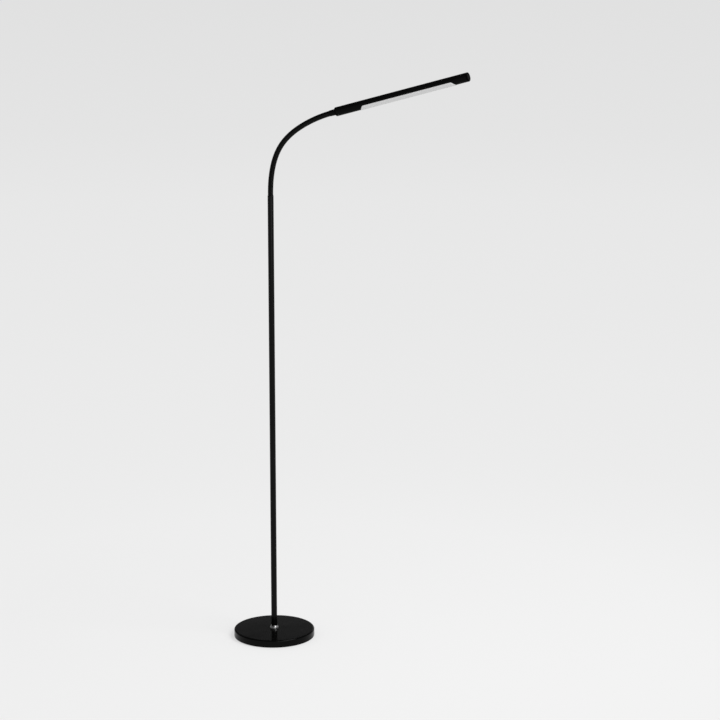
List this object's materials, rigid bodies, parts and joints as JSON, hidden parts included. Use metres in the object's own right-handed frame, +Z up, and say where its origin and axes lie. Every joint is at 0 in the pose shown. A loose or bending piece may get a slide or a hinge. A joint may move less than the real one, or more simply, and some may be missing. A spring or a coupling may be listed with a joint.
{
  "type": "gooseneck floor lamp",
  "caption": "Slim floor lamp: round weighted base, straight pole, bendable gooseneck arm and a tubular lighting head with an opal window.",
  "frame": {"origin": "centre of the base on the floor, on the pole's axis", "axes": "+Z up along the pole, +X the way the arm leans at rest, +Y across"},
  "size_m": [0.6599, 0.22, 1.5437],
  "materials": {
    "gloss_black": "smooth glossy black stove enamel",
    "cast_iron": "as cast, rough",
    "zinc_steel": "bright zinc plating",
    "pad_foam": "matt closed-cell foam sheet",
    "socket_black": "matt moulded",
    "chrome": "polished",
    "pole_black": "satin black powder coat",
    "neck_black": "satin black lacquer over wound steel",
    "lead_black": "matt black jacket",
    "lead_red": "matt",
    "head_black": "satin black powder coat",
    "cap_black": "fine-textured black",
    "bare_aluminium": "mill finish extrusion",
    "board_white": "white solder mask",
    "led_yellow": "phosphor over white package",
    "board_green": "green solder mask",
    "part_dark": "moulded component bodies",
    "opal": "opal acrylic, finely frosted"
  },
  "bodies": {
    "stand": {"base_cover": "gloss_black", "base_weight": "cast_iron", "base_plate": "zinc_steel", "plate_screws": "zinc_steel", "base_pad": "pad_foam", "power_socket": "socket_black", "tie_tube": "zinc_steel", "tie_washer": "zinc_steel", "tie_nut": "zinc_steel", "foot_bush": "zinc_steel", "collar_ring": "chrome", "top_bush": "pole_black", "pole_lead": "lead_black", "pole_lower": "pole_black", "pole_middle": "pole_black", "pole_upper": "pole_black", "coupler_lower": "zinc_steel", "coupler_upper": "zinc_steel", "neck_root": "neck_black", "neck_cable": "lead_black"},
    "neck_01": {"neck_link_01": "neck_black"},
    "neck_02": {"neck_link_02": "neck_black"},
    "neck_03": {"neck_link_03": "neck_black"},
    "neck_04": {"neck_link_04": "neck_black"},
    "neck_05": {"neck_link_05": "neck_black"},
    "neck_06": {"neck_link_06": "neck_black"},
    "neck_07": {"neck_link_07": "neck_black"},
    "neck_08": {"neck_link_08": "neck_black"},
    "neck_09": {"neck_link_09": "neck_black"},
    "neck_10": {"neck_link_10": "neck_black"},
    "neck_11": {"neck_link_11": "neck_black"},
    "neck_12": {"neck_link_12": "neck_black"},
    "neck_13": {"neck_link_13": "neck_black"},
    "neck_14": {"neck_link_14": "neck_black"},
    "neck_15": {"neck_link_15": "neck_black"},
    "head": {"neck_tip": "neck_black", "head_ferrule": "head_black", "ferrule_nut": "zinc_steel", "rear_cap": "cap_black", "head_shell": "head_black", "heat_sink": "bare_aluminium", "led_board": "board_white", "leds": "led_yellow", "board_screws": "zinc_steel", "diffuser": "opal", "driver_board": "board_green", "driver_parts": "part_dark", "head_lead": "lead_black", "led_lead": "lead_red", "end_cap": "cap_black"}
  },
  "joints": [
    {"name": "neck_bend_1", "type": "hinge", "parent": "stand", "child": "neck_01", "pos_m": [0, 0, 1.22765], "axis": [0, 1, 0], "range_deg": [-4.82, 5.47], "deforming": ["neck_cable"]},
    {"name": "neck_sway_1", "type": "hinge", "parent": "neck_01", "child": "neck_02", "pos_m": [0.00105, 0, 1.24683], "axis": [-0.9965, 0, 0.0834], "range_deg": [-7.5, 7.5]},
    {"name": "neck_bend_2", "type": "hinge", "parent": "neck_02", "child": "neck_03", "pos_m": [0.0032, 0, 1.26592], "axis": [0, 1, 0], "range_deg": [-7.74, 8.78]},
    {"name": "neck_sway_2", "type": "hinge", "parent": "neck_03", "child": "neck_04", "pos_m": [0.0066, 0, 1.28483], "axis": [-0.9763, 0, 0.2163], "range_deg": [-7.53, 7.53]},
    {"name": "neck_bend_3", "type": "hinge", "parent": "neck_04", "child": "neck_05", "pos_m": [0.01151, 0, 1.3034], "axis": [0, 1, 0], "range_deg": [-11.85, 13.45]},
    {"name": "neck_sway_3", "type": "hinge", "parent": "neck_05", "child": "neck_06", "pos_m": [0.0183, 0, 1.32137], "axis": [-0.9114, 0, 0.4116], "range_deg": [-7.53, 7.53]},
    {"name": "neck_bend_4", "type": "hinge", "parent": "neck_06", "child": "neck_07", "pos_m": [0.02729, 0, 1.33835], "axis": [0, 1, 0], "range_deg": [-15.32, 17.4]},
    {"name": "neck_sway_4", "type": "hinge", "parent": "neck_07", "child": "neck_08", "pos_m": [0.03853, 0, 1.35392], "axis": [-0.7702, 0, 0.6378], "range_deg": [-7.53, 7.53]},
    {"name": "neck_bend_5", "type": "hinge", "parent": "neck_08", "child": "neck_09", "pos_m": [0.05174, 0, 1.36787], "axis": [0, 1, 0], "range_deg": [-12.81, 16.35]},
    {"name": "neck_sway_5", "type": "hinge", "parent": "neck_09", "child": "neck_10", "pos_m": [0.06643, 0, 1.38025], "axis": [-0.6095, 0, 0.7928], "range_deg": [-7.5, 7.5]},
    {"name": "neck_bend_6", "type": "hinge", "parent": "neck_10", "child": "neck_11", "pos_m": [0.08217, 0, 1.39127], "axis": [0, 1, 0], "range_deg": [-8.35, 10.64]},
    {"name": "neck_sway_6", "type": "hinge", "parent": "neck_11", "child": "neck_12", "pos_m": [0.09864, 0, 1.40115], "axis": [-0.4885, 0, 0.8726], "range_deg": [-7.53, 7.53]},
    {"name": "neck_bend_7", "type": "hinge", "parent": "neck_12", "child": "neck_13", "pos_m": [0.11567, 0, 1.41003], "axis": [0, 1, 0], "range_deg": [-6.49, 8.26]},
    {"name": "neck_sway_7", "type": "hinge", "parent": "neck_13", "child": "neck_14", "pos_m": [0.13318, 0, 1.41795], "axis": [-0.3874, 0, 0.9219], "range_deg": [-7.53, 7.53]},
    {"name": "neck_bend_8", "type": "hinge", "parent": "neck_14", "child": "neck_15", "pos_m": [0.15108, 0, 1.42491], "axis": [0, 1, 0], "range_deg": [-7.73, 9.85]},
    {"name": "neck_sway_8", "type": "hinge", "parent": "neck_15", "child": "head", "pos_m": [0.16933, 0, 1.4309], "axis": [-0.2863, 0, 0.9582], "range_deg": [-7.53, 7.53]}
  ],
  "couplings": [
    {"joint": "neck_bend_1", "follows": "neck_bend_4", "ratio": 0.3124},
    {"joint": "neck_bend_2", "follows": "neck_bend_4", "ratio": 0.5028},
    {"joint": "neck_sway_2", "follows": "neck_sway_1", "ratio": 1},
    {"joint": "neck_bend_3", "follows": "neck_bend_4", "ratio": 0.7708},
    {"joint": "neck_sway_3", "follows": "neck_sway_1", "ratio": 1},
    {"joint": "neck_sway_4", "follows": "neck_sway_1", "ratio": 1},
    {"joint": "neck_bend_6", "follows": "neck_bend_5", "ratio": 0.6486},
    {"joint": "neck_sway_6", "follows": "neck_sway_5", "ratio": 1},
    {"joint": "neck_bend_7", "follows": "neck_bend_5", "ratio": 0.5033},
    {"joint": "neck_sway_7", "follows": "neck_sway_5", "ratio": 1},
    {"joint": "neck_bend_8", "follows": "neck_bend_5", "ratio": 0.6},
    {"joint": "neck_sway_8", "follows": "neck_sway_5", "ratio": 1}
  ]
}
